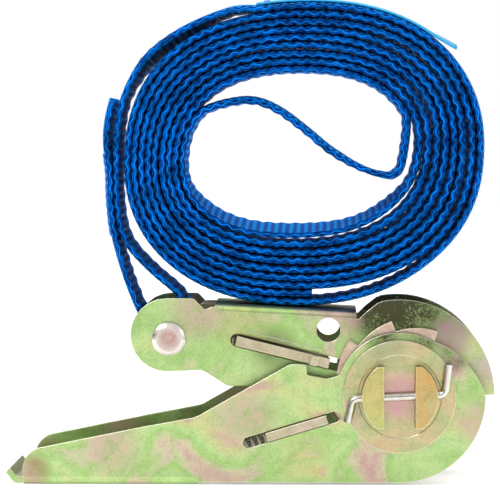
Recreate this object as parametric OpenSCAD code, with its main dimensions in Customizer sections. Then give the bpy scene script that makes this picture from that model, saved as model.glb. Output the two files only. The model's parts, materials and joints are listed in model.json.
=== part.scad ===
// Ratchet tie-down: a pressed-steel ratchet with 25 mm webbing sewn to it and wound in a coil on top.
// Side view is X-Z, width is Y. The lowest face of the handle is at Z = 0, and the ratchet is centred in Y.

/* [Webbing] */
// Width of the strap
web_w = 25; // [24:0.5:25.5]
// Thickness of one layer of strap
web_t = 1.5; // [1.2:0.1:1.6]
// Size of the coil from end to end
coil_length = 87.5; // [84:0.5:88]
// Height of the coil
coil_height = 69.2; // [66:0.2:70]
// Length of the open middle of the coil
hole_length = 50.6; // [46:0.2:52]
// Height of the open middle of the coil
hole_height = 34.5; // [30:0.5:36]

/* [Sheet metal] */
// Thickness of the frame and the handle
sheet_t = 1.5; // [1.2:0.1:1.6]
// Clear width between the cheeks of the frame
frame_inside = 26.8; // [26.4:0.1:27]
// Clear width between the cheeks of the handle
handle_inside = 36.4; // [36.2:0.1:37]

/* [Spindle] */
// Radius of the two half-round bars
bar_r = 8.75; // [8.6:0.05:8.8]
// Gap between the bars, where the strap goes in
bar_gap = 7.2; // [6.6:0.2:8]
// Radius of the holes that the bars turn in
journal_r = 8.82; // [8.8:0.01:8.84]
// Radius over the tips of the teeth
tip_r = 17.3; // [17:0.1:17.3]
// Radius at the foot of the teeth
root_r = 14.9; // [14.7:0.1:15]
// Thickness of one ratchet wheel
wheel_t = 2.6; // [2:0.1:2.7]

/* [Pawls] */
// Thickness of the plate in the handle
drive_plate_t = 2.0; // [1.8:0.1:2.1]
// Thickness of the plate in the frame
stop_plate_t = 2.2; // [2:0.1:2.4]
// How far both noses stand from the spindle axis, just clear of the teeth
nose_p = 17.5; // [17.5:0.05:17.7]

/* [Anchor pin] */
// Radius of the pin that holds the sewn loop
pin_r = 3.0; // [2.8:0.1:3.1]
// Radius of its heads
pin_head_r = 3.9; // [3.7:0.1:4.2]

/* [Hidden] */
$fn = 96;
// How far a cut runs past the face that it cuts
over = 1;
// How far the channel's legs lie inside the cheeks, so that no two faces coincide
skin = 0.03;

// The spindle axis, from the origin at the middle of the underside
spindle_x = 34.453;
spindle_z = 20.4;

frame_out = frame_inside / 2 + sheet_t;
handle_out = handle_inside / 2 + sheet_t;
// Outer bend radius of the pressed channels
bend_r = 1.6;

// Handle: the web of the channel is under its far end, a little lower than the cheeks
handle_web_x0 = -87;
handle_web_x1 = -46.7;
handle_under = -19.9;
handle_web_under = -spindle_z;
cam_base_r = 14.7;
cam_top_r = 19.9;

// Frame: the web of the channel is on top and slopes down towards the spindle
frame_web_x0 = -42.7;
frame_web_x1 = -9.9;
frame_web_z0 = 21.2;
frame_web_slope = 3.2;
guard_r = 22.1;
hub_r = 12.3;
pin_x = -53.4;
pin_z = 12.9;
lock_hole_r = 2.76;

// Slide directions: the angle from the spindle to each slot, and how far its line passes from the axis
drive_angle = 196.7;
drive_offset = 0.25;
drive_slot_p = [15.53, 36.4];
drive_slot_r = 1.27;
stop_angle = 166.14;
stop_offset = -3.28;
stop_slot_p = [15.95, 39.54];
stop_slot_r = 1.5;

wheel_y = frame_out + 0.15;
washer_y = handle_out + 0.15;
washer_t = 1.2;
washer_r = 13;
bar_end_y = 24.5;
wire_r = 0.95;
// The pawls' angles suit ten teeth, with a tip at this angle
tooth_count = 10;
tip_angle = 95.8;

// Centre of the coil, from the spindle
coil_x = -24.15;
coil_z = frame_web_z0 + 0.1 + coil_height / 2;
hole_x = -23.9;
hole_z = coil_z + 0.2;
// The open middle leans to the right by this share of its height
hole_lean = 0.13;

// ---- Helpers ----

function unit(v) = v / norm(v);

// An angle brought between -180 and 180
function turn_of(a) = a > 180 ? a - 360 : a < -180 ? a + 360 : a;

// The corner at b of a path a-b-c, as an arc of radius r in n steps
function corner(a, b, c, r, n = 6) =
    r <= 0 ? [b] :
    let(
        u = unit(a - b),
        w = unit(c - b),
        half = acos(u * w) / 2,
        centre = b + unit(u + w) * (r / sin(half)),
        s = b + u * (r / tan(half)) - centre,
        e = b + w * (r / tan(half)) - centre,
        a0 = atan2(s.y, s.x),
        da = turn_of(atan2(e.y, e.x) - a0)
    )
    [for (i = [0:n]) centre + r * [cos(a0 + da * i / n), sin(a0 + da * i / n)]];

function flat_of(p) = [p.x, p.y];

// A closed outline from corners given as [x, y, radius]
function rounded(corners) =
    let(n = len(corners))
    [for (i = [0:n - 1], p = corner(
        flat_of(corners[(i + n - 1) % n]),
        flat_of(corners[i]),
        flat_of(corners[(i + 1) % n]),
        corners[i].z)) p];

// An open path from corners given as [x, y, radius], with its two ends as they are
function rounded_path(corners) =
    let(n = len(corners))
    [for (i = [0:n - 1], p = i == 0 || i == n - 1 ? [flat_of(corners[i])] : corner(
        flat_of(corners[i - 1]),
        flat_of(corners[i]),
        flat_of(corners[i + 1]),
        corners[i].z,
        10)) p];

function arc(r, a0, a1, step = 3) =
    let(n = max(1, ceil(abs(a1 - a0) / step)))
    [for (i = [0:n]) r * [cos(a0 + (a1 - a0) * i / n), sin(a0 + (a1 - a0) * i / n)]];

// The sideways direction of an open path at point i
function side(path, i) =
    let(
        n = len(path),
        d = unit(path[min(i + 1, n - 1)] - path[max(i - 1, 0)])
    )
    [-d.y, d.x];

// The outline of a band of thickness t along an open path
function band(path, t) =
    let(n = len(path))
    concat(
        [for (i = [0:n - 1]) path[i] + side(path, i) * t / 2],
        [for (i = [n - 1:-1:0]) path[i] - side(path, i) * t / 2]
    );

// An oval that is fuller than an ellipse, between the angles a0 and a1
function oval(cx, cz, rx, rz, a0 = 0, a1 = 360, n = 90, full = 2.25) =
    [for (i = [0:n - (a1 - a0 == 360 ? 1 : 0)])
        let(a = a0 + (a1 - a0) * i / n, c = cos(a), s = sin(a))
        [cx + rx * sign(c) * pow(abs(c), 2 / full), cz + rz * sign(s) * pow(abs(s), 2 / full)]];

module at_spindle() {
    translate([spindle_x, 0, spindle_z]) children();
}

// A side-view outline made into a plate from y0 to y1
module plate(y0, y1) {
    translate([0, y1, 0]) rotate([90, 0, 0]) linear_extrude(y1 - y0) children();
}

// The same on both sides of the middle plane
module both_sides() {
    children();
    mirror([0, 1, 0]) children();
}

// A drilled hole along Y through everything
module cross_hole(x, z, r) {
    translate([x, 0, z]) rotate([90, 0, 0]) cylinder(h = 80, r = r, center = true);
}

// Turns a side view so that its X axis points out along a pawl's slide
module along_slide(angle) {
    rotate([0, -angle, 0]) children();
}

// A slot with round ends, cut through the cheeks along a pawl's slide
module slide_slot(angle, offset_z, ends, r) {
    along_slide(angle) {
        translate([0, -40, offset_z - r]) translate([ends[0], 0, 0]) cube([ends[1] - ends[0], 80, 2 * r]);
        for (p = ends) cross_hole(p, offset_z, r);
    }
}

// A slab of a pawl: from p0 to p1 along the slide, y0 to y1 across
module slab(p0, p1, y0, y1, z, t) {
    translate([p0, y0, z - t / 2]) cube([p1 - p0, y1 - y0, t]);
}

// The rim of a pressed channel: a flat web with two rounded bends. Its short legs lie just inside the cheeks
module channel_section(width, leg) {
    w = width / 2 - skin;
    inner = width / 2 - sheet_t + skin;
    difference() {
        polygon(rounded([[-w, -leg, 0], [w, -leg, 0], [w, 0, bend_r], [-w, 0, bend_r]]));
        translate([-inner, -leg - over]) square([2 * inner, leg + over - sheet_t]);
    }
}

// A compression spring of round wire along X
module spring(length, coil_r, wire, turns) {
    rings = turns * 14;
    sides = 8;
    centre = function(i)
        let(a = 360 * turns * i / rings)
        [wire / 2 + (length - wire) * i / rings, coil_r * cos(a), coil_r * sin(a)];
    ring_point = function(i, k)
        let(
            a = 360 * turns * i / rings,
            out = [0, cos(a), sin(a)],
            b = 360 * k / sides
        )
        centre(i) + wire / 2 * (cos(b) * out + sin(b) * [1, 0, 0]);
    points = [for (i = [0:rings], k = [0:sides - 1]) ring_point(i, k)];
    walls = [for (i = [0:rings - 1], k = [0:sides - 1])
        let(a = i * sides + k, b = i * sides + (k + 1) % sides)
        each [[a, b, b + sides], [a, b + sides, a + sides]]];
    polyhedron(points, concat(
        walls,
        [[for (k = [sides - 1:-1:0]) k]],
        [[for (k = [0:sides - 1]) rings * sides + k]]
    ), convexity = 10);
}

// Round wire of radius r along an open path in the X-Z plane
module round_wire(r, path, sides = 14) {
    n = len(path);
    points = [for (i = [0:n - 1], k = [0:sides - 1])
        let(a = 360 * k / sides, s = side(path, i) * r * cos(a))
        [path[i].x + s.x, r * sin(a), path[i].y + s.y]];
    walls = [for (i = [0:n - 2], k = [0:sides - 1])
        let(a = i * sides + k, b = i * sides + (k + 1) % sides)
        each [[a, b + sides, b], [a, a + sides, b + sides]]];
    polyhedron(concat(points), concat(
        walls,
        [[for (k = [0:sides - 1]) k]],
        [[for (k = [sides - 1:-1:0]) (n - 1) * sides + k]]
    ), convexity = 6);
}

// ---- Handle ----

// The cam on the handle's cheek: small towards the stop pawl, full size round the rest
function cam_r(a) =
    a >= 60 ? cam_base_r :
    a <= 0 ? cam_top_r :
    cam_base_r + (cam_top_r - cam_base_r) * pow((60 - a) / 60, 1.25);

module handle_cheek() {
    polygon(rounded([
        [-4, handle_under, 0],
        [handle_web_x1, handle_under, 0],
        [handle_web_x1, handle_web_under + bend_r, 0],
        [handle_web_x0, handle_web_under + bend_r, 0],
        [-87, -15.0, 4],
        [-84.6, -12.3, 5],
        [-59.5, -7.2, 20],
        [-47, -4.9, 6],
        [-25, 7.5, 3],
        [-21.5, 7.3, 0.5],
        [-21.3, 4.9, 0.4],
        [-16.6, 4.0, 0.8],
        [-13.9, 4.8, 0]
    ]));
    polygon([for (a = [-90:3:162]) cam_r(a) * [cos(a), sin(a)]]);
    polygon([[0, -cam_top_r], [0, 0], [-cam_base_r * cos(18), cam_base_r * sin(18)], [-25, -10], [-25, handle_under]]);
}

module handle() {
    color([0.80, 0.80, 0.60])
    at_spindle() {
        difference() {
            both_sides() plate(handle_inside / 2, handle_out) handle_cheek();
            cross_hole(0, 0, journal_r);
            slide_slot(drive_angle, drive_offset, drive_slot_p, drive_slot_r);
        }
        translate([handle_web_x0, 0, handle_web_under])
            rotate([0, 90, 0]) rotate([0, 0, 90])
            linear_extrude(handle_web_x1 - handle_web_x0)
            mirror([0, 1]) channel_section(2 * handle_out, 3.2);
        // The end of the web curls up into a lip for the thumb
        plate(-16.5, 16.5) polygon(band(rounded_path([
            [-86, handle_web_under + sheet_t / 2, 0],
            [-88.9, handle_web_under + sheet_t / 2, 2.2],
            [-90.7, -17.5, 0]
        ]), sheet_t));
    }
}

// The bridge between the handle's cheeks that the drive pawl's spring pushes against
bridge_p = 44;
module handle_spring_bridge() {
    color([0.78, 0.79, 0.72])
    at_spindle() along_slide(drive_angle) difference() {
        union() {
            slab(bridge_p, bridge_p + sheet_t, -handle_inside / 2, handle_inside / 2, drive_offset, 8);
            slab(bridge_p, bridge_p + 6, -12, 12, drive_offset + 4 - sheet_t / 2, sheet_t);
        }
        slab(bridge_p - over, bridge_p + sheet_t + over, -2.4, 2.4, drive_offset, drive_plate_t + 0.5);
    }
}

// ---- Pawls ----

drive_shoulder_p = 22.5;
drive_tail_p = 32;
drive_pull_p = 52;

module drive_pawl() {
    color([0.74, 0.76, 0.70])
    at_spindle() along_slide(drive_angle) {
        // fingers for the two wheels, shoulders that ride over the frame's guard, and ears in the slots
        both_sides() slab(nose_p, drive_tail_p, frame_out + 0.15, 21, drive_offset, drive_plate_t);
        slab(drive_shoulder_p, drive_tail_p, -frame_out - 0.2, frame_out + 0.2, drive_offset, drive_plate_t);
        // tang through the spring and the bridge, with the plate that the fingers pull
        slab(drive_tail_p - over, drive_pull_p + over, -2, 2, drive_offset, drive_plate_t);
        translate([drive_pull_p, 0, drive_offset + drive_plate_t / 2])
            plate(-10, 10) polygon(rounded([[0, 0, 0.6], [1.6, 0, 1], [1.6, -8.6, 0.6], [0, -8.6, 0.6]]));
    }
}

module drive_pawl_spring() {
    color([0.86, 0.86, 0.88])
    at_spindle() along_slide(drive_angle) translate([drive_tail_p, 0, drive_offset])
        spring(bridge_p - drive_tail_p, 3.2, 0.8, 7);
}

stop_body_p = 20;
stop_tail_p = 39.6;
stop_tab_p = 46;

module stop_pawl() {
    color([0.76, 0.77, 0.70])
    at_spindle() along_slide(stop_angle) {
        both_sides() {
            slab(nose_p, stop_tail_p, frame_inside / 2 - 0.8, handle_inside / 2 - 0.2, stop_offset, stop_plate_t);
            // ears that the handle's cams push back
            slab(20.2, 21.8, handle_inside / 2 - 0.3, handle_out + 0.3, stop_offset, stop_plate_t);
        }
        slab(stop_body_p, stop_tail_p, 0.1 - frame_inside / 2, frame_inside / 2 - 0.1, stop_offset, stop_plate_t);
        slab(stop_tail_p - over, stop_tab_p + 3.4, -1.2, 1.2, stop_offset, stop_plate_t);
    }
}

module stop_pawl_spring() {
    color([0.86, 0.86, 0.88])
    at_spindle() along_slide(stop_angle) translate([stop_tail_p, 0, stop_offset])
        spring(stop_tab_p - stop_tail_p, 2.6, 0.7, 5);
}

// ---- Frame ----

module frame_cheek() {
    web_drop = (frame_web_x1 - frame_web_x0) * tan(frame_web_slope);
    polygon(rounded([
        [-62.3, 22.4, 8.4],
        [-62.3, 5.0, 8.4],
        [-45.6, 5.7, 3],
        [-39.8, 2.0, 3],
        [-8, 2.0, 0],
        [-2, 18, 0],
        [-4.2, 21.9, 0.8],
        [-7.4, 19.4, 1.2],
        [-9.3, frame_web_z0 - web_drop - bend_r - 0.2, 0],
        [frame_web_x0 + 1.2, frame_web_z0 - bend_r - 0.2, 0],
        [frame_web_x0 + 0.6, frame_web_z0 - 0.9, 0],
        [frame_web_x0 - 0.8, frame_web_z0 - 0.8, 0.4],
        [-45.0, 19.6, 1.1],
        [-47.6, 22.3, 1]
    ]));
    polygon(concat([[-2, 0], [guard_r, 0]], arc(guard_r, 2, 101)));
    rotate(-50) circle(r = hub_r);
}

module frame() {
    color([0.80, 0.81, 0.62])
    at_spindle() {
        difference() {
            union() {
                both_sides() plate(frame_inside / 2, frame_out) frame_cheek();
                translate([frame_web_x0, 0, frame_web_z0]) rotate([0, frame_web_slope, 0])
                    rotate([90, 0, 90]) linear_extrude((frame_web_x1 - frame_web_x0) / cos(frame_web_slope))
                    channel_section(2 * frame_out, 3);
            }
            cross_hole(0, 0, journal_r);
            cross_hole(-16.4, 15, lock_hole_r);
            cross_hole(pin_x, pin_z, pin_r + 0.06);
            slide_slot(stop_angle, stop_offset, stop_slot_p, stop_slot_r);
        }
        // The stop pawl's spring pushes against a tab bent down from the web
        difference() {
            plate(-6, 6) polygon(band(rounded_path([
                [frame_web_x0 + 0.6, frame_web_z0 - sheet_t / 2 - 0.2, 0],
                [-46.6, frame_web_z0 - sheet_t / 2 - 0.2, 1.4],
                [-44.6, 9.5, 0]
            ]), sheet_t));
            along_slide(stop_angle) slab(stop_tab_p - 4, stop_tab_p + 6, -1.6, 1.6, stop_offset, stop_plate_t + 0.8);
        }
        // A raised lip stiffens the upper edge of each slot
        both_sides() along_slide(stop_angle)
            slab(20, 38.5, frame_out - 0.3, frame_out + 0.7, stop_offset - stop_slot_r - 0.7, 0.8);
    }
}

// ---- Spindle ----

// The section of the bar on the right, grown by clear
module half_round(clear = 0) {
    intersection() {
        circle(r = bar_r + clear);
        translate([bar_gap / 2 - clear, -7.1 - clear]) square([bar_r, 14.2 + 2 * clear]);
    }
}

module both_half_rounds(clear) {
    for (turn = [0, 180]) rotate(turn) half_round(clear);
}

module wire_path_hole() {
    rotate([0, -2.5, 0]) rotate([0, 90, 0]) cylinder(h = 40, r = wire_r + 0.08, center = true);
}

module spindle_bar() {
    difference() {
        plate(-bar_end_y, bar_end_y) half_round();
        both_sides() translate([0, wire_y, 0]) wire_path_hole();
    }
}

module spindle_bar_right() {
    color([0.78, 0.78, 0.66]) at_spindle() spindle_bar();
}

module spindle_bar_left() {
    color([0.78, 0.78, 0.66]) at_spindle() rotate([0, 180, 0]) spindle_bar();
}

// One tooth is a long back that rises to the tip and a steep flank
module toothed_disc() {
    pitch = 360 / tooth_count;
    flank = 2.4;
    polygon([for (k = [0:tooth_count - 1], s = [0:6])
        let(t = s / 6, a = tip_angle + pitch * k + (pitch - flank) * t)
        (tip_r + (root_r - tip_r) * t) * [cos(a), sin(a)]]);
}

module ratchet_wheel() {
    plate(wheel_y, wheel_y + wheel_t) difference() {
        toothed_disc();
        both_half_rounds(0.05);
    }
}

module ratchet_wheel_rear() {
    color([0.62, 0.66, 0.56]) at_spindle() ratchet_wheel();
}

module ratchet_wheel_front() {
    color([0.62, 0.66, 0.56]) at_spindle() mirror([0, 1, 0]) ratchet_wheel();
}

module end_washer() {
    difference() {
        plate(washer_y, washer_y + washer_t) difference() {
            circle(r = washer_r);
            both_half_rounds(0.05);
        }
        // pressed recess round the bars
        translate([0, washer_y + washer_t + over, 0]) rotate([90, 0, 0]) cylinder(h = over + 0.35, r = 9.6);
    }
}

module end_washer_rear() {
    color([0.84, 0.84, 0.72]) at_spindle() end_washer();
}

module end_washer_front() {
    color([0.84, 0.84, 0.72]) at_spindle() mirror([0, 1, 0]) end_washer();
}

wire_y = washer_y + washer_t + wire_r + 0.1;

// The wire goes straight through both bars, and its ends are bent opposite ways
module retaining_wire() {
    translate([0, wire_y, 0]) round_wire(wire_r, rounded_path([
        [-12, -5.8, 0],
        [-10.7, -0.4, 1.6],
        [10.4, 0.5, 1.6],
        [11.2, 7.5, 0]
    ]));
}

module retaining_wire_rear() {
    color([0.88, 0.88, 0.90]) at_spindle() retaining_wire();
}

module retaining_wire_front() {
    color([0.88, 0.88, 0.90]) at_spindle() mirror([0, 1, 0]) retaining_wire();
}

// ---- Anchor pin ----

pin_head_t = 1.3;

module anchor_pin() {
    color([0.86, 0.85, 0.84])
    at_spindle() translate([pin_x, 0, pin_z]) rotate([90, 0, 0]) {
        cylinder(h = 2 * (frame_out + 1.6), r = pin_r, center = true);
        // formed head in front, riveted end behind the washer
        translate([0, 0, frame_out + 0.1]) rotate_extrude()
            polygon([[0, 0], [pin_head_r, 0], [pin_head_r, 0.8], [pin_head_r - 0.7, pin_head_t], [0, pin_head_t]]);
        translate([0, 0, -frame_out - 1.1]) mirror([0, 0, 1]) cylinder(h = 0.9, r1 = pin_head_r - 0.2, r2 = pin_r - 0.4);
    }
}

module anchor_pin_washer() {
    color([0.80, 0.80, 0.78])
    at_spindle() translate([pin_x, frame_out + 0.1, pin_z]) rotate([-90, 0, 0]) difference() {
        cylinder(h = 0.9, r = 4.8);
        translate([0, 0, -over]) cylinder(h = 0.9 + 2 * over, r = pin_r + 0.05);
    }
}

// ---- Webbing ----

module webbing_coil() {
    color([0.05, 0.20, 0.70])
    at_spindle() plate(-web_w / 2, web_w / 2) difference() {
        polygon(oval(coil_x, coil_z, coil_length / 2, coil_height / 2));
        polygon([for (p = oval(hole_x, hole_z, hole_length / 2, hole_height / 2)) [p.x + hole_lean * (p.y - hole_z), p.y]]);
    }
}

// The inner end crosses the open middle in a long S
module webbing_inner_run() {
    color([0.08, 0.30, 0.80])
    at_spindle() plate(-web_w / 2, web_w / 2) polygon(band(rounded_path([
        [-43.6, 65.4, 0],
        [-33.4, 68.6, 8],
        [-17.5, 56.0, 20],
        [-2.0, 50.4, 2.5],
        [1.2, 57.5, 6],
        [1.0, 63.0, 0]
    ]), web_t));
}

// The sewn end goes down to the pin, round it and back up to the coil
module webbing_loop() {
    color([0.05, 0.22, 0.72])
    at_spindle() plate(-web_w / 2, web_w / 2) polygon(band(rounded_path([
        [-66.6, 40.5, 0],
        [-66.4, 36.0, 8],
        [-57.6, 8.6, 4],
        [-49.4, 8.6, 4],
        [-49.6, 20.6, 8],
        [-63.4, 33.4, 10],
        [-64.6, 41.0, 0]
    ]), web_t));
}

// Rows of thread across the doubled strap, on its outer face
module loop_stitching() {
    color([0.25, 0.50, 0.95])
    at_spindle() for (i = [0:9])
        translate([coil_x - coil_length / 2 - 0.1, 0, 40 + 2.2 * i]) rotate([90, 0, 0])
        cylinder(h = 18, r = 0.3, center = true);
}

// A blank sewn-in tag lies on the outer turn, with its end standing off
module webbing_label() {
    color([0.10, 0.75, 0.90])
    at_spindle() plate(-11, 11) polygon(band(concat(
        oval(coil_x, coil_z, coil_length / 2 + 0.2, coil_height / 2 + 0.2, 108, 50, 16),
        [[12.5, 80.2]]
    ), 0.3));
}

frame();
handle();
handle_spring_bridge();
drive_pawl();
drive_pawl_spring();
stop_pawl();
stop_pawl_spring();
spindle_bar_left();
spindle_bar_right();
ratchet_wheel_front();
ratchet_wheel_rear();
end_washer_front();
end_washer_rear();
retaining_wire_front();
retaining_wire_rear();
anchor_pin();
anchor_pin_washer();
webbing_coil();
webbing_inner_run();
webbing_loop();
loop_stitching();
webbing_label();
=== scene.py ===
"""A 25 mm ratchet tie-down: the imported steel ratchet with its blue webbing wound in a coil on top."""

import json
import math

import bpy
import bmesh
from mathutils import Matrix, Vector, noise


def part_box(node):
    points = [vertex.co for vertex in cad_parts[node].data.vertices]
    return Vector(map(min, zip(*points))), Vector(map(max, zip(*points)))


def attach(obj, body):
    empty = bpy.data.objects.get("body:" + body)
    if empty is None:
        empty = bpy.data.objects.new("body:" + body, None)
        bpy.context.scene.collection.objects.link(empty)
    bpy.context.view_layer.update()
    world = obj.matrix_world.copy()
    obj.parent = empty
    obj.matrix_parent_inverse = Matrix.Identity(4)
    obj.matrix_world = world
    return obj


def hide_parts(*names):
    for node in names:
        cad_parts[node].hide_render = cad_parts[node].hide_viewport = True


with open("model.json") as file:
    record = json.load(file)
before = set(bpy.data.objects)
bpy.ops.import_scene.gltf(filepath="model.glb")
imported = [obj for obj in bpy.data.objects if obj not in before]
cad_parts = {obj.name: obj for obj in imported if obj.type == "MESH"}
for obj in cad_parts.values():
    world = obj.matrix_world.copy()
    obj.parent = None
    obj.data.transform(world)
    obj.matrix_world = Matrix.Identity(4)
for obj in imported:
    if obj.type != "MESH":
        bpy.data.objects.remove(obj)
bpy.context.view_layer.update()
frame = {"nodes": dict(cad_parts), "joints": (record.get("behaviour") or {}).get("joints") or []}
NODES = frame["nodes"]
JOINTS = {j["name"]: j for j in frame["joints"]}
MM = 0.001


# Where the ratchet turns, and where the strap is sewn on
SPINDLE = Vector(JOINTS["handle_hinge"]["pos_m"])
PIN = Vector(JOINTS["anchor_pin_turn"]["pos_m"])


# ---- Node helpers ----


def new_material(name):
    """A material with only a Principled shader, as (material, nodes, links, principled)."""
    material = bpy.data.materials.new(name)
    material.use_nodes = True
    tree = material.node_tree
    return material, tree.nodes, tree.links, tree.nodes["Principled BSDF"]


def add(nodes, kind, **values):
    """A new node: keys that name an input set it, and the others are attributes."""
    node = nodes.new(kind)
    for key, value in values.items():
        if hasattr(node, key):
            setattr(node, key, value)
        else:
            node.inputs[key.replace("_", " ")].default_value = value
    return node


def maths(nodes, links, operation, *operands):
    """The socket of a math node whose operands are sockets or numbers."""
    node = add(nodes, "ShaderNodeMath", operation=operation)
    for place, value in enumerate(operands):
        if isinstance(value, (int, float)):
            node.inputs[place].default_value = value
        else:
            links.new(value, node.inputs[place])
    return node.outputs[0]


def map_range(nodes, links, value, low, high, at_low, at_high):
    """A smooth change from at_low to at_high as value goes from low to high."""
    node = add(nodes, "ShaderNodeMapRange", interpolation_type="SMOOTHSTEP")
    links.new(value, node.inputs["Value"])
    for label, number in (("From Min", low), ("From Max", high), ("To Min", at_low), ("To Max", at_high)):
        node.inputs[label].default_value = number
    return node.outputs["Result"]


def ramp(nodes, links, factor, stops):
    """A colour ramp over factor, from (position, colour) stops."""
    node = nodes.new("ShaderNodeValToRGB")
    elements = node.color_ramp.elements
    while len(elements) < len(stops):
        elements.new(0.5)
    for element, (position, colour) in zip(elements, stops):
        element.position = position
        element.color = (*colour, 1)
    links.new(factor, node.inputs["Fac"])
    return node.outputs["Color"]


def mix(nodes, links, factor, a, b, blend="MIX"):
    """The colour socket of a mix of two colours, each a socket or a tuple."""
    node = add(nodes, "ShaderNodeMix", data_type="RGBA", blend_type=blend)
    for socket, value in ((node.inputs[0], factor), (node.inputs[6], a), (node.inputs[7], b)):
        if isinstance(value, tuple):
            socket.default_value = (*value, 1)
        elif isinstance(value, (int, float)):
            socket.default_value = value
        else:
            links.new(value, socket)
    return node.outputs[2]


def noise_of(nodes, links, vector, scale, detail=3.0, distortion=0.0):
    """The factor socket of a noise texture."""
    node = add(nodes, "ShaderNodeTexNoise", Scale=scale, Detail=detail, Distortion=distortion)
    links.new(vector, node.inputs["Vector"])
    return node.outputs["Fac"]


def object_space(nodes, links, stretch=(1, 1, 1), turn=(0, 0, 0), shift=(0, 0, 0)):
    """Object coordinates in metres, scaled, turned and shifted."""
    coordinates = nodes.new("ShaderNodeTexCoord")
    mapping = nodes.new("ShaderNodeMapping")
    mapping.inputs["Scale"].default_value = stretch
    mapping.inputs["Rotation"].default_value = turn
    mapping.inputs["Location"].default_value = shift
    links.new(coordinates.outputs["Object"], mapping.inputs["Vector"])
    return mapping.outputs["Vector"]


def bump(nodes, links, height, strength, distance, onto):
    """A bump node that feeds the shader's normal."""
    node = add(nodes, "ShaderNodeBump", Strength=strength, Distance=distance)
    links.new(height, node.inputs["Height"])
    links.new(node.outputs["Normal"], onto.inputs["Normal"])
    return node


def attribute(nodes, name):
    """The value of one of the strap's own attributes."""
    return add(nodes, "ShaderNodeAttribute", attribute_name=name).outputs["Fac"]


# ---- Materials ----

# the chromate film's colours; the near-black last one is no film colour but painted dark reflection
PINK, TAN, GREEN = (0.50, 0.32, 0.29), (0.55, 0.40, 0.20), (0.33, 0.50, 0.17)
STRAW, DARK_REFLECTION = (0.50, 0.54, 0.24), (0.060, 0.062, 0.032)
ZINC = [
    (0.28, PINK),
    (0.38, (0.50, 0.47, 0.30)),
    (0.47, GREEN),
    (0.56, (0.41, 0.56, 0.24)),
    (0.65, STRAW),
    (0.74, PINK),
]
# the bright edge tone is partly bare zinc where the film is worn, partly a painted highlight
WORN_EDGE_HIGHLIGHT = (0.90, 0.87, 0.72)
EDGE_WIDTH = 0.28 * MM
EDGE_WEAR_AND_HIGHLIGHT = 0.75                       # how far an edge moves to the bright tone: film worn off, and painted highlight
EDGE_START, EDGE_FULL = 0.995, 0.90    # cosines between the true normal and the rounded one
MOTTLE_SCALE, GRAIN_SCALE, WARP_SCALE = 420, 2400, 60
CLOUD_DISTORTION = 1.4


def tint_patch(nodes, links, colour, space, place, grain):
    """Mixes a soft round patch over a colour: a real stain, or with the near-black tint a painted dark
    reflection. Place is one row of a list of such patches.
    """
    x, z, radius, tint, strength = place
    flat = add(nodes, "ShaderNodeVectorMath", operation="MULTIPLY")
    links.new(space, flat.inputs[0])
    flat.inputs[1].default_value = (1, 0, 1)
    distance = add(nodes, "ShaderNodeVectorMath", operation="DISTANCE")
    links.new(flat.outputs[0], distance.inputs[0])
    distance.inputs[1].default_value = (SPINDLE.x + x * MM, 0, SPINDLE.z + z * MM)
    fade = map_range(nodes, links, distance.outputs["Value"], 0.25 * radius * MM, radius * MM, strength, 0)
    return mix(nodes, links, maths(nodes, links, "MULTIPLY", fade, grain), colour, tint)


def passivated_zinc(name, stops, roughness, shift, scale, stains_and_dark_reflections):
    """Zinc plate under a chromate film: clouds of film colour, stains and painted dark reflections, fine
    grain, and bright edges that are partly worn film and partly painted highlight.
    """
    material, nodes, links, shader = new_material(name)
    plain = object_space(nodes, links)
    drifted = object_space(nodes, links, (1, 0.6, 1.3), (0, 0.5, 0), (shift, 0, shift))
    clouds = noise_of(nodes, links, drifted, scale, 3, CLOUD_DISTORTION)
    colour = ramp(nodes, links, clouds, stops)
    mottle = noise_of(nodes, links, plain, MOTTLE_SCALE, 4)
    grain = noise_of(nodes, links, plain, GRAIN_SCALE, 2)
    speckle = maths(nodes, links, "ADD", maths(nodes, links, "MULTIPLY", mottle, 0.8), grain)
    speckle = maths(nodes, links, "MULTIPLY", maths(nodes, links, "SUBTRACT", speckle, 0.5), 1.8)
    gate = add(nodes, "ShaderNodeClamp")
    links.new(speckle, gate.inputs["Value"])
    for place in stains_and_dark_reflections:
        colour = tint_patch(nodes, links, colour, plain, place, gate.outputs[0])
    fine = ramp(nodes, links, speckle, [(0.15, (0.80, 0.80, 0.80)), (0.9, (1.08, 1.08, 1.08))])
    colour = mix(nodes, links, 1.0, colour, fine, "MULTIPLY")
    # bright metal at the edges: partly where the film has worn off, partly a painted highlight on their
    # rounding
    rounded = add(nodes, "ShaderNodeBevel", samples=6, Radius=EDGE_WIDTH)
    facing = add(nodes, "ShaderNodeVectorMath", operation="DOT_PRODUCT")
    links.new(rounded.outputs["Normal"], facing.inputs[0])
    links.new(nodes.new("ShaderNodeNewGeometry").outputs["Normal"], facing.inputs[1])
    edge = map_range(nodes, links, facing.outputs["Value"], EDGE_START, EDGE_FULL, 0, EDGE_WEAR_AND_HIGHLIGHT)
    colour = mix(nodes, links, edge, colour, WORN_EDGE_HIGHLIGHT)
    links.new(colour, shader.inputs["Base Color"])
    shader.inputs["Metallic"].default_value = 1.0
    dull = maths(nodes, links, "MULTIPLY", clouds, 0.20)
    dull = maths(nodes, links, "ADD", dull, roughness - 0.10)
    dull = maths(nodes, links, "ADD", dull, maths(nodes, links, "MULTIPLY", mottle, 0.12))
    links.new(dull, shader.inputs["Roughness"])
    # the pressed sheet isn't quite flat, and its plating is faintly grained
    warp = noise_of(nodes, links, plain, WARP_SCALE, 1)
    pressed = add(nodes, "ShaderNodeBump", Strength=0.35, Distance=0.6 * MM)
    links.new(warp, pressed.inputs["Height"])
    links.new(rounded.outputs["Normal"], pressed.inputs["Normal"])
    plated = bump(nodes, links, speckle, 0.10, 0.04 * MM, shader)
    links.new(pressed.outputs["Normal"], plated.inputs["Normal"])
    return material


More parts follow.
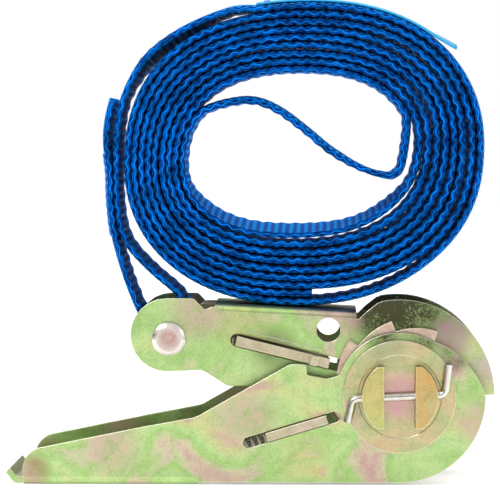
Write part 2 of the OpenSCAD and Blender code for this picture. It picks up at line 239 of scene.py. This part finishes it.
def bright_wire(name, colour, roughness):
    """Drawn wire: fine lines and a clean shine."""
    material, nodes, links, shader = new_material(name)
    lines = noise_of(nodes, links, object_space(nodes, links), 700, 3)
    tone = ramp(nodes, links, lines, [(0.3, tuple(0.80 * c for c in colour)), (0.7, colour)])
    links.new(tone, shader.inputs["Base Color"])
    shader.inputs["Metallic"].default_value = 1.0
    dull = maths(nodes, links, "ADD", maths(nodes, links, "MULTIPLY", lines, 0.15), roughness - 0.07)
    links.new(dull, shader.inputs["Roughness"])
    bump(nodes, links, lines, 0.1, 0.03 * MM, shader)
    return material


RIB = 1.75 * MM           # spacing of the ribs across the strap's face
WAVE = 3.1 * MM           # one wave of the selvedge
COLUMN = 1.3 * MM         # spacing of the warp threads
EDGE_FROM = 12.05 * MM    # the selvedge starts this far from the strap's middle


def woven_polyester():
    """Ribs across the face, a fine thread grain, and on the edge a painted highlight along the wavy selvedge
    over painted shade.
    """
    material, nodes, links, shader = new_material("woven_polyester")
    along, across, thick = (attribute(nodes, n) for n in ("along", "across", "thick"))
    turn = maths(nodes, links, "MULTIPLY", along, 2 * math.pi / RIB)
    rib = maths(nodes, links, "SINE", turn)
    turn_across = maths(nodes, links, "MULTIPLY", across, 2 * math.pi / COLUMN)
    columns = maths(nodes, links, "SINE", turn_across)
    weave = maths(nodes, links, "MULTIPLY", columns, 0.45)
    weave = maths(nodes, links, "ADD", weave, rib)
    threads = noise_of(nodes, links, object_space(nodes, links), 1500, 3)
    weave = maths(nodes, links, "ADD", weave, maths(nodes, links, "MULTIPLY", threads, 0.9))
    face_tone = ramp(nodes, links, maths(nodes, links, "MULTIPLY_ADD", weave, 0.25, 0.5), [
        (0.15, (0.000, 0.026, 0.150)),
        (0.50, (0.000, 0.100, 0.390)),
        (0.85, (0.000, 0.270, 0.740)),
    ])
    # the selvedge: a painted highlight line that swings across the edge with each wave, and a fainter one
    # beside it; the rest of the edge is painted shade, as between the turns
    swing = maths(nodes, links, "SINE", attribute(nodes, "phase"))
    drift = noise_of(nodes, links, object_space(nodes, links), 110, 3)
    swing = maths(nodes, links, "MULTIPLY", swing, maths(nodes, links, "MULTIPLY", drift, 0.50))
    place = maths(nodes, links, "SUBTRACT", thick, swing)
    bright = maths(nodes, links, "ABSOLUTE", maths(nodes, links, "ADD", place, -0.26))
    faint = maths(nodes, links, "ABSOLUTE", maths(nodes, links, "ADD", place, 0.52))
    faint = maths(nodes, links, "ADD", faint, maths(nodes, links, "MULTIPLY", drift, 0.30))
    line = maths(nodes, links, "MINIMUM", bright, faint)
    line = maths(nodes, links, "SUBTRACT", line, maths(nodes, links, "MULTIPLY", threads, 0.30))
    # from painted highlight on the lines to painted shade between the turns
    edge_highlight_and_shade = ramp(nodes, links, line, [
        (0.00, (0.001, 0.200, 0.700)),
        (0.07, (0.001, 0.090, 0.420)),
        (0.17, (0.000, 0.024, 0.190)),
        (0.60, (0.000, 0.008, 0.085)),
    ])
    patches = noise_of(nodes, links, object_space(nodes, links), 260, 2)
    worn = ramp(nodes, links, patches, [(0.35, (0.50, 0.50, 0.50)), (0.65, (1.15, 1.15, 1.15))])
    edge_highlight_and_shade = mix(nodes, links, 1.0, edge_highlight_and_shade, worn, "MULTIPLY")
    at_edge = maths(nodes, links, "GREATER_THAN", maths(nodes, links, "ABSOLUTE", across), EDGE_FROM)
    colour = mix(nodes, links, at_edge, face_tone, edge_highlight_and_shade)
    links.new(colour, shader.inputs["Base Color"])
    shader.inputs["Roughness"].default_value = 0.6
    shader.inputs["Specular IOR Level"].default_value = 0.02
    bump(nodes, links, weave, 0.6, 0.22 * MM, shader)
    return material


def sewing_thread():
    """Twisted thread, a little lighter than the strap."""
    material, nodes, links, shader = new_material("sewing_thread")
    twist = noise_of(nodes, links, object_space(nodes, links, (1, 3, 1)), 1800, 2)
    tone = ramp(nodes, links, twist, [(0.3, (0.02, 0.12, 0.55)), (0.7, (0.10, 0.40, 0.95))])
    links.new(tone, shader.inputs["Base Color"])
    shader.inputs["Roughness"].default_value = 0.45
    bump(nodes, links, twist, 0.5, 0.1 * MM, shader)
    return material


def coated_tag():
    """A smooth coated tag with a faint weave showing through."""
    material, nodes, links, shader = new_material("coated_tag")
    weave = noise_of(nodes, links, object_space(nodes, links, (1, 2, 1)), 1100, 2)
    cloud = noise_of(nodes, links, object_space(nodes, links), 60, 2)
    tone = ramp(nodes, links, cloud, [(0.3, (0.002, 0.27, 0.52)), (0.7, (0.004, 0.34, 0.62))])
    links.new(tone, shader.inputs["Base Color"])
    shader.inputs["Roughness"].default_value = 0.42
    bump(nodes, links, weave, 0.25, 0.06 * MM, shader)
    return material


def studio_paper():
    """Matt white paper that glows enough to meet the white background."""
    material, nodes, links, shader = new_material("studio_paper")
    tooth = noise_of(nodes, links, object_space(nodes, links), 400, 3)
    tone = ramp(nodes, links, tooth, [(0.3, (0.90, 0.90, 0.90)), (0.7, (0.93, 0.93, 0.93))])
    links.new(tone, shader.inputs["Base Color"])
    shader.inputs["Roughness"].default_value = 0.9
    shader.inputs["Emission Color"].default_value = (1, 1, 1, 1)
    shader.inputs["Emission Strength"].default_value = 0.34
    return material


# ---- The steel parts, carried over from CAD ----

# stains and painted dark reflections: x and z in mm from the spindle, radius in mm, tint and strength
FRAME_STAINS_AND_DARK_REFLECTIONS = (
    # the near-black rows are painted dark reflection over the guard's top and above the slot; the others are
    # real film stains
    (-1, 23, 15, DARK_REFLECTION, 1.9),
    (12, 18, 9, DARK_REFLECTION, 0.75),
    (-8, 18, 6, DARK_REFLECTION, 0.7),
    (-29, 11, 7, DARK_REFLECTION, 0.60),
    (-13, 17, 6, PINK, 0.8),
    (12, 13, 7, (0.42, 0.22, 0.30), 0.8),
    (-47, 19, 9, PINK, 0.8),
    (-36, 17, 8, TAN, 0.4),
    (20, 6, 6, (0.50, 0.33, 0.38), 0.8),
)
HANDLE_STAINS_AND_DARK_REFLECTIONS = (
    # the near-black rows are painted dark reflection along the plate's upper edge; the others are real film
    # stains
    (-4, 15.5, 7, DARK_REFLECTION, 1.0),
    (6, 15, 7, DARK_REFLECTION, 1.0),
    (13, 9.5, 5.5, DARK_REFLECTION, 0.75),
    (-36, -5, 11, PINK, 0.75),
    (-66, -12, 9, PINK, 0.7),
    (19, -6, 8, PINK, 0.75),
    (-22, -14, 8, TAN, 0.35),
    (-84, -17, 5, (0.30, 0.12, 0.10), 0.7),
)
WASHER_STAINS = (
    (0, 0, 7.5, (0.50, 0.29, 0.29), 1.3),
    (-3, 12, 7, (0.34, 0.36, 0.21), 0.9),
    (-11, -4, 5, PINK, 0.6),
)
PIN_STAINS = ((-53.4, 12.9, 3.6, (0.44, 0.27, 0.23), 1.2),)

PAWL_TONES = [(0.3, (0.46, 0.35, 0.22)), (0.5, (0.46, 0.42, 0.28)), (0.7, (0.54, 0.44, 0.35))]
WHEEL_TONES = [(0.3, (0.50, 0.33, 0.27)), (0.5, (0.60, 0.46, 0.36)), (0.7, (0.38, 0.40, 0.22))]
WASHER_TONES = [(0.32, (0.50, 0.36, 0.22)), (0.5, (0.52, 0.43, 0.24)), (0.66, (0.38, 0.43, 0.21))]
LEFT_BAR_TONES = [(0.35, (0.44, 0.46, 0.16)), (0.65, (0.50, 0.42, 0.17))]
RIGHT_BAR_TONES = [(0.35, (0.52, 0.32, 0.11)), (0.65, (0.46, 0.38, 0.17))]
PIN_TONES = [(0.35, (0.62, 0.58, 0.54)), (0.65, (0.68, 0.62, 0.58))]

# each finish: film colours, roughness, shift of the clouds, their scale, stains and painted dark
# reflections, and the nodes that have it
PLATED = {
    "frame_zinc": (ZINC, 0.32, 0.00, 42, FRAME_STAINS_AND_DARK_REFLECTIONS, ["frame"]),
    "handle_zinc": (ZINC, 0.30, 0.37, 42, HANDLE_STAINS_AND_DARK_REFLECTIONS, ["handle"]),
    "pawl_zinc": (PAWL_TONES, 0.34, 0.71, 90, (), ["handle_spring_bridge", "drive_pawl", "stop_pawl"]),
    "wheel_zinc": (WHEEL_TONES, 0.32, 0.93, 70, (), ["ratchet_wheel_front", "ratchet_wheel_rear"]),
    "washer_zinc": (WASHER_TONES, 0.28, 0.19, 60, WASHER_STAINS, ["end_washer_front", "end_washer_rear"]),
    "bar_zinc": (LEFT_BAR_TONES, 0.30, 0.53, 80, (), ["spindle_bar_left"]),
    "bar_zinc_tan": (RIGHT_BAR_TONES, 0.30, 0.87, 80, (), ["spindle_bar_right"]),
    "pin_zinc": (PIN_TONES, 0.24, 0.11, 120, PIN_STAINS, ["anchor_pin", "anchor_pin_washer"]),
}
# each wire: colour, roughness, and the nodes that have it
DRAWN = {
    "retaining_wire": ((0.60, 0.58, 0.52), 0.20, ["retaining_wire_front", "retaining_wire_rear"]),
    "spring_wire": ((0.60, 0.58, 0.54), 0.26, ["drive_pawl_spring", "stop_pawl_spring"]),
}
SHARP_EDGE = math.radians(32)    # a sharper turn than this is an edge


def finish_steel():
    """Gives each CAD node its finish and its shading."""
    finishes = [(passivated_zinc(name, *look), names) for name, (*look, names) in PLATED.items()]
    finishes += [(bright_wire(name, *look), names) for name, (*look, names) in DRAWN.items()]
    for material, names in finishes:
        for name in names:
            piece = NODES[name]
            piece.data.materials.clear()
            piece.data.materials.append(material)
            crisp(piece)


def crisp(piece):
    """Smooth over curves, with a clean break at every real edge."""
    mesh = piece.data
    if "custom_normal" in mesh.attributes:
        mesh.attributes.remove(mesh.attributes["custom_normal"])
    for polygon in mesh.polygons:
        polygon.use_smooth = True
    weld = piece.modifiers.new("weld", "WELD")
    weld.merge_threshold = 0.001 * MM
    split = piece.modifiers.new("edges", "EDGE_SPLIT")
    split.split_angle = SHARP_EDGE


# ---- The strap's path, in the X-Z plane ----

LAYERS = 9
STRAP_WIDTH = 25 * MM
STRAP_THICK = 1.5 * MM
CUP = 0.7 * MM       # how far the middle of the strap bows out
STEP = 0.5 * MM      # spacing of the points along the strap
# where the turns stand apart: after which layer, at which angle, over how wide an angle,
# and by how many layers
GAPS = ((0.6, 128, 60, 0.20), (2.6, 140, 45, 0.16), (1.6, 325, 50, 0.15), (3.6, 335, 40, 0.08))


def from_spindle(x, z):
    """A point given in millimetres from the spindle's axis."""
    return Vector((SPINDLE.x + x * MM, SPINDLE.z + z * MM))


def smooth_step(t):
    """0 below 0 and 1 above 1, with a smooth rise between."""
    t = min(max(t, 0.0), 1.0)
    return t * t * (3 - 2 * t)


# the hole and the outer edge of the coil
FULLNESS = 2.25      # 2 is an ellipse
HOLE_SHEAR, RING_SHEAR = 0.13, 0.03
HOLE_CENTRE, HOLE_RADII = from_spindle(-23.9, 56.0), Vector((25.3, 17.25)) * MM
RING_CENTRE, RING_RADII = from_spindle(-22.15, 55.75), Vector((41.75, 34.4)) * MM


def oval_point(centre, radii, angle, shear):
    """A point on an oval that is fuller than an ellipse, with its top pushed to the right by the shear."""
    c, s = math.cos(angle), math.sin(angle)
    x = radii.x * math.copysign(abs(c) ** (2 / FULLNESS), c)
    z = radii.y * math.copysign(abs(s) ** (2 / FULLNESS), s)
    return Vector((centre.x + x + shear * z, centre.y + z))


def layer_point(k, degrees):
    """A point in the middle of layer k, counted from the hole outwards."""
    for after, middle, width, size in GAPS:
        away = abs((degrees - middle + 180) % 360 - 180) / width
        k += size * (1 - smooth_step(away)) * smooth_step(k - after + 0.5) * (1 - k / LAYERS)
    share = (k + 0.5) / LAYERS
    angle = math.radians(degrees)
    inner = oval_point(HOLE_CENTRE, HOLE_RADII, angle, HOLE_SHEAR)
    outer = oval_point(RING_CENTRE, RING_RADII, angle, RING_SHEAR)
    return inner.lerp(outer, share)


def loose(k, degrees):
    """How far layer k wanders from its place: hand-wound turns don't lie quite evenly."""
    angle = math.radians(degrees)
    return 0.16 * noise.noise(Vector((math.cos(angle) * 1.4, math.sin(angle) * 1.4, k * 0.55)))


# the two arms are wound together, so each is a layer further out after half a turn
HALF_TURN = 180
LAST_TURN = 5 * 360
FREE_START, FREE_END = 22, 281 + 3 * 360             # degrees from the hole to the cut end
PIN_ARM_START, PIN_ARM_END = 151, 103 + LAST_TURN    # degrees from the hole to where the sewn arm leaves
CUT_END_PASSED = FREE_END + 343                      # where the sewn arm starts to settle past the cut end
ARM_STEP = 12                                        # degrees between the points that the curve goes through


def free_arm():
    """From the middle run out to the cut end."""
    return [
        layer_point(d / HALF_TURN + loose(d / HALF_TURN, d), d)
        for d in range(FREE_START, FREE_END + 1, ARM_STEP)
    ]


def pin_layer(d):
    """Which layer the sewn arm is in after d degrees. Past the cut end it settles into the room left."""
    k = max(0.0, (d - HALF_TURN) / HALF_TURN)
    k -= smooth_step((d - CUT_END_PASSED) / 62)
    return min(k + loose(k, d), LAYERS - 0.50)


def pin_arm():
    """From where the strap leaves for the pin in to the middle run."""
    return [layer_point(pin_layer(d), d) for d in range(PIN_ARM_END, PIN_ARM_START - 1, -ARM_STEP)]


def curve_through(points, steps):
    """A smooth curve through given points."""
    out = []
    padded = [points[0] * 2 - points[1]] + points + [points[-1] * 2 - points[-2]]
    for a, b, c, d in zip(padded, padded[1:], padded[2:], padded[3:]):
        for i in range(steps):
            t = i / steps
            out.append(0.5 * (
                2 * b + (c - a) * t + (2 * a - 5 * b + 4 * c - d) * t * t
                + (3 * b - 3 * c + d - a) * t ** 3
            ))
    return out + [points[-1]]


def resampled(points, spacing):
    """The same path with even spacing."""
    out = [points[0].copy()]
    left = spacing
    for a, b in zip(points, points[1:]):
        span = (b - a).length
        while span >= left and span > 0:
            a = a + (b - a) * (left / span)
            out.append(a.copy())
            span -= left
            left = spacing
        left -= span
    return out


def relaxed(points, rounds):
    """Evens out kinks, with the ends fixed."""
    for _ in range(rounds):
        before = [p.copy() for p in points]
        for i in range(1, len(points) - 1):
            points[i] = (before[i - 1] + 2 * before[i] + before[i + 1]) / 4
    return points


PIN_RADIUS, PIN_CLEARANCE = 3.0 * MM, 0.12 * MM
# points listed in mm from the spindle, in the order in which the strap runs
TAIL = (
    (-66.4, 68.6), (-67.6, 63.8), (-68.0, 58.5), (-67.2, 51.5),
    (-67.0, 45.0), (-66.0, 36.5), (-62.9, 26.0), (-59.2, 17.0),
)
LEG = (
    (-49.4, 18.0), (-50.8, 23.0), (-57.6, 29.0), (-63.6, 36.0), (-65.5, 45.0), (-65.6, 55.0), (-65.3, 61.5),
    (-64.2, 67.6), (-62.1, 73.0), (-59.4, 77.6), (-55.6, 81.2), (-50.4, 84.6), (-44.4, 87.3), (-38.0, 89.2),
)
MIDDLE = (
    (-41.0, 67.2), (-34.4, 68.0), (-28.4, 65.8), (-22.0, 61.1), (-16.2, 56.3),
    (-10.6, 53.1), (-5.2, 51.2), (-1.6, 51.0), (0.3, 53.0),
)


def strap_path():
    """The whole strap: tail, loop round the pin, sewn arm inwards, middle run, free arm outwards."""
    round_pin = PIN_RADIUS + STRAP_THICK / 2 + PIN_CLEARANCE
    turns = [math.radians(degrees) for degrees in range(185, 371, 12)]
    wrap = [Vector((PIN.x + round_pin * math.cos(a), PIN.z + round_pin * math.sin(a))) for a in turns]
    tail, leg, middle = ([from_spindle(*p) for p in points] for points in (TAIL, LEG, MIDDLE))
    path = curve_through(tail + wrap + leg + pin_arm(), 8)
    path = path[:-1] + curve_through([path[-1]] + middle + free_arm(), 8)
    return relaxed(resampled(path, STEP), 10)


def path_length(path):
    """The length along the points."""
    return sum((b - a).length for a, b in zip(path, path[1:]))


# ---- The strap's mesh ----


RIB_HEIGHT = 0.05 * MM
RIB_TAPER = 9.5 * MM, 2.6 * MM        # where the ribs start to fade towards the edge, and over how far
EDGE_CHAMFER = 0.55 * MM, 0.12 * MM   # how the section narrows to its rounded edge
LEAN = 1.7 * MM                       # the most that the innermost turn's rear edge stands up
TUCK = 1.6 * MM                       # the most that the sewn arm's rear edge is tucked in
TUCK_RUN = 0.085, 0.215               # the stretch along the strap that may be tucked, in metres
TUCK_FADE = 10 * MM


def strap_section():
    """Points round the strap's section, as (across, thickness from -1 to 1)."""
    half = STRAP_WIDTH / 2
    slope, corner = EDGE_CHAMFER
    inner = half - slope
    flats = [inner * (i / 3 - 1) for i in range(7)]
    bottom = [(x, -1.0) for x in flats]
    right = [(half - corner, -0.62), (half, 0.0), (half - corner, 0.62)]
    top = [(x, 1.0) for x in reversed(flats)]
    left = [(-x, t) for x, t in reversed(right)]
    return bottom + right + top + left


def lean(place):
    """How far the rear edge of the innermost turn stands up at the bottom of the hole."""
    away = place - HOLE_CENTRE
    away.x -= HOLE_SHEAR * away.y
    size = abs(away.x / HOLE_RADII.x) ** FULLNESS + abs(away.y / HOLE_RADII.y) ** FULLNESS
    low = smooth_step((-away.y / HOLE_RADII.y - 0.25) / 0.6)
    return LEAN * low * (1 - smooth_step((size - 1.24) / 0.28))


def tucked(place, run):
    """How far the sewn arm's rear edge is tucked in towards the coil, above the stitching."""
    away = place - RING_CENTRE
    degrees = math.degrees(math.atan2(away.y, away.x))
    start, end = TUCK_RUN
    on_arm = smooth_step((run - start) / TUCK_FADE) * smooth_step((end - run) / TUCK_FADE)
    return TUCK * on_arm * smooth_step((degrees - 114) / 22) * smooth_step((164 - degrees) / 18)


def cupped(place, out):
    """Which way the strap's middle bows, from -1 to 1: outwards from the hole's centre."""
    away = place - HOLE_CENTRE
    return max(-1.0, min(1.0, 2.5 * out.dot(away.normalized()))) if away.length else 0.0


def mesh_piece(name, points, faces, values=()):
    """A smooth piece with its faces turned outwards, and the named values on its points."""
    mesh = bpy.data.meshes.new(name)
    mesh.from_pydata(points, [], faces)
    for label, numbers in values:
        mesh.attributes.new(label, "FLOAT", "POINT").data.foreach_set("value", numbers)
    work = bmesh.new()
    work.from_mesh(mesh)
    bmesh.ops.recalc_face_normals(work, faces=work.faces)
    work.to_mesh(mesh)
    work.free()
    return linked(name, mesh)


def linked(name, mesh):
    """A smooth-shaded piece in the scene, with this mesh."""
    for polygon in mesh.polygons:
        polygon.use_smooth = True
    piece = bpy.data.objects.new(name, mesh)
    bpy.context.scene.collection.objects.link(piece)
    return piece


def build_strap(path, name):
    """The strap's section, swept along its path, with the values that its material reads."""
    section = strap_section()
    count = len(section)
    taper_from, taper_over = RIB_TAPER
    points, faces = [], []
    along, across, thick, phase = [], [], [], []
    run = 0.0
    last = len(path) - 1
    for i, place in enumerate(path):
        before, after = path[max(i - 1, 0)], path[min(i + 1, last)]
        direction = (after - before).normalized()
        out = Vector((-direction.y, direction.x))
        if i:
            run += (place - path[i - 1]).length
        rib = 0.9 * RIB_HEIGHT * math.sin(2 * math.pi * run / RIB)
        turn = 2 * math.pi * run / WAVE + 1.9 * noise.noise(Vector((run * 95, 7.7, 0)))
        wave = (0.12 + 0.07 * noise.noise(Vector((run * 60, 1.3, 0)))) * MM * math.sin(turn)
        tilt = lean(place)
        tuck = tucked(place, run)
        bow = CUP * cupped(place, out)
        drift = 0.35 * MM * noise.noise(Vector((run * 9, 3.1, 0)))
        for x, t in section:
            edge = smooth_step((abs(x) - taper_from) / taper_over)
            # the selvedge swings from face to face; the ribs stand out on both faces
            offset = bow * (1 - (2 * x / STRAP_WIDTH) ** 2)
            offset += t * (STRAP_THICK / 2 - RIB_HEIGHT) * (1 - 0.16 * edge)
            offset += t * rib * (1 - edge) + wave * edge
            spot = place + out * (offset - tuck * (x / STRAP_WIDTH + 0.5))
            points.append((spot.x, x + drift, spot.y + tilt * (x / STRAP_WIDTH + 0.5)))
            along.append(run)
            across.append(x)
            thick.append(t)
            phase.append(turn)
    for i in range(last):
        for k in range(count):
            a, b = i * count + k, i * count + (k + 1) % count
            faces.append((a, b, b + count, a + count))
    faces.append(tuple(range(count - 1, -1, -1)))
    faces.append(tuple(range(last * count, last * count + count)))
    values = (("along", along), ("across", across), ("thick", thick), ("phase", phase))
    return mesh_piece(name, points, faces, values)


# ---- Stitching and tag ----


def tube(name, points, radius, material):
    """A round thread through the points, as a mesh."""
    curve = bpy.data.curves.new(name, "CURVE")
    curve.dimensions = "3D"
    curve.bevel_depth = radius
    curve.bevel_resolution = 3
    curve.use_fill_caps = True
    spline = curve.splines.new("POLY")
    spline.points.add(len(points) - 1)
    for target, point in zip(spline.points, points):
        target.co = (*point, 1)
    made = bpy.data.objects.new(name, curve)
    bpy.context.scene.collection.objects.link(made)
    depsgraph = bpy.context.evaluated_depsgraph_get()
    mesh = bpy.data.meshes.new_from_object(made.evaluated_get(depsgraph))
    bpy.data.objects.remove(made)
    mesh.materials.append(material)
    return linked(name, mesh)


STITCH_ROWS = 5
STITCHED = (13 * MM, 33 * MM)    # the stretch of the tail that is sewn down
TAG_WIDTH, TAG_THICK = 22 * MM, 0.42 * MM
TAG_COLUMNS = 8
TAG_FROM, TAG_TO = 104, 49       # degrees round the coil


def bowed(y):
    """How far the strap's outer face stands out from its path, y from its middle."""
    return STRAP_THICK / 2 + CUP * (1 - (2 * y / STRAP_WIDTH) ** 2)


def stitching(path, material):
    """Zigzag rows that hold the tail to the strap, on the tail's outer face."""
    low, high = STITCHED
    steps = [p for i, p in enumerate(path) if low <= i * STEP <= high]
    pieces = []
    for row in range(STITCH_ROWS):
        middle = (row / (STITCH_ROWS - 1) - 0.5) * 19 * MM
        points = []
        for i in range(0, len(steps) - 1, 2):
            direction = (steps[i + 1] - steps[i]).normalized()
            spot = steps[i] + Vector((direction.y, -direction.x)) * (bowed(middle) + 0.05 * MM)
            side = 0.9 if (i // 2) % 2 else -0.9
            points.append((spot.x, middle + side * MM, spot.y))
        pieces.append(tube(f"stitch_row_{row}", points, 0.24 * MM, material))
    return pieces


def tag(material):
    """A blank tag that lies on the coil's top and lifts off at its end, with its length."""
    spots = [layer_point(pin_layer(LAST_TURN + d), d) for d in range(TAG_FROM, TAG_TO, -3)]
    end = spots[-1]
    heading = (spots[-1] - spots[-3]).normalized()
    lift = Vector((0.16, 0.98)) * 0.3 * MM
    for i in range(1, 7):
        spots.append(end + heading * (i * 1.2 * MM) + lift * (i / 6) ** 1.5)
    points, faces = [], []
    for i, spot in enumerate(spots):
        a, b = spots[max(i - 1, 0)], spots[min(i + 1, len(spots) - 1)]
        direction = (b - a).normalized()
        out = Vector((-direction.y, direction.x))
        # its free end twists, so that its face shows from the front
        twist = 1.3 * MM * smooth_step((i - len(spots) + 11) / 9)
        for side in (0, 1):
            for c in range(TAG_COLUMNS + 1):
                y = (c / TAG_COLUMNS - 0.5) * TAG_WIDTH
                p = spot + out * (bowed(y) + 0.12 * MM + side * TAG_THICK)
                points.append((p.x, y, p.y + twist * c / TAG_COLUMNS))
    row = 2 * (TAG_COLUMNS + 1)
    ring = list(range(TAG_COLUMNS + 1)) + list(range(row - 1, TAG_COLUMNS, -1))
    last = (len(spots) - 1) * row
    for start in range(0, last, row):
        for a, b in zip(ring, ring[1:] + ring[:1]):
            faces.append((start + a, start + b, start + b + row, start + a + row))
    faces.append(tuple(reversed(ring)))
    faces.append(tuple(last + v for v in ring))
    piece = mesh_piece("label_tag", points, faces)
    piece.data.materials.append(material)
    return piece, path_length(spots)


def label_seam(material):
    """A zigzag row that holds the tag's fixed end to the outer turn."""
    count = 27
    points = []
    for i in range(count):
        d = 101.5 - (1.4 if i % 2 else 0)
        spot = layer_point(pin_layer(LAST_TURN + d), d)
        ahead = layer_point(pin_layer(LAST_TURN + d - 1), d - 1)
        along = (ahead - spot).normalized()
        y = (i / (count - 1) - 0.5) * 20.5 * MM
        spot = spot + Vector((-along.y, along.x)) * (bowed(y) + 0.60 * MM)
        points.append((spot.x, y, spot.y))
    return tube("label_seam", points, 0.17 * MM, material)


# ---- Stage, light and camera ----


def build_stage():
    """White paper and a white background, with a world that gives the plating something to mirror."""
    bpy.ops.mesh.primitive_plane_add(size=6, location=(0, 0, -0.1 * MM))
    floor = bpy.context.object
    floor.name = "studio_floor"
    floor.data.materials.append(studio_paper())
    world = bpy.data.worlds.new("studio")
    bpy.context.scene.world = world
    world.use_nodes = True
    nodes, links = world.node_tree.nodes, world.node_tree.links
    background = nodes["Background"]
    height = nodes.new("ShaderNodeSeparateXYZ")
    links.new(nodes.new("ShaderNodeTexCoord").outputs["Generated"], height.inputs[0])
    level = maths(nodes, links, "MULTIPLY_ADD", height.outputs["Z"], 0.5, 0.5)
    # a dim horizon and a bright ceiling
    greys = ((0.45, 0.75), (0.52, 0.30), (0.62, 0.42), (0.76, 0.95), (1.0, 1.0))
    sky = ramp(nodes, links, level, [(place, (grey, grey, grey)) for place, grey in greys])
    links.new(sky, background.inputs["Color"])
    white = add(nodes, "ShaderNodeBackground", Color=(1, 1, 1, 1), Strength=1.0)
    choose = nodes.new("ShaderNodeMixShader")
    links.new(nodes.new("ShaderNodeLightPath").outputs["Is Camera Ray"], choose.inputs[0])
    links.new(background.outputs[0], choose.inputs[1])
    links.new(white.outputs[0], choose.inputs[2])
    links.new(choose.outputs[0], nodes["World Output"].inputs["Surface"])
    bpy.context.scene.view_settings.view_transform = "Standard"


def area_light(name, place, aim, size, power):
    """A rectangular light at place, turned towards aim."""
    data = bpy.data.lights.new(name, "AREA")
    data.shape = "RECTANGLE"
    data.size, data.size_y = size
    data.energy = power
    light = bpy.data.objects.new(name, data)
    light.location = place
    light.rotation_euler = (Vector(aim) - Vector(place)).to_track_quat("-Z", "Y").to_euler()
    bpy.context.scene.collection.objects.link(light)


def build_lights():
    """A key from the upper left, a weak fill from the right, and a top light from behind."""
    middle = (0, 0, 0.05)
    area_light("key", (-0.45, -0.55, 0.75), middle, (0.5, 0.35), 5.5)
    area_light("fill", (0.7, -0.5, 0.35), middle, (0.5, 0.5), 1.2)
    area_light("top", (0.1, 0.25, 0.9), middle, (0.6, 0.4), 4)


def build_camera():
    """A long lens a little above and to the right of the middle, looking across the strap."""
    distance, view_width = 0.80, 0.115
    to_right, above = 0.0172, 0.0260
    data = bpy.data.cameras.new("camera")
    data.sensor_width = 36
    data.lens = data.sensor_width * distance / view_width
    data.clip_start = 0.01
    camera = bpy.data.objects.new("camera", data)
    bpy.context.scene.collection.objects.link(camera)
    aim = Vector((0.0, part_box("handle")[0].y, 0.0554))
    camera.location = aim + Vector((to_right, -distance, above))
    camera.rotation_euler = (aim - camera.location).to_track_quat("-Z", "Y").to_euler()
    bpy.context.scene.camera = camera


# ---- Put it together ----

build_camera()
finish_steel()

route = strap_path()
strap = build_strap(route, "webbing_strap")
strap.data.materials.append(woven_polyester())
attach(strap, "frame")
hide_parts("webbing_coil", "webbing_inner_run", "webbing_loop")

thread = sewing_thread()
for stitch in stitching(route, thread):
    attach(stitch, "frame")
    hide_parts("loop_stitching")

label, label_length = tag(coated_tag())
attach(label, "frame")
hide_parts("webbing_label")
seam = label_seam(thread)
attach(seam, "frame")
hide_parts("loop_stitching")

build_stage()
build_lights()
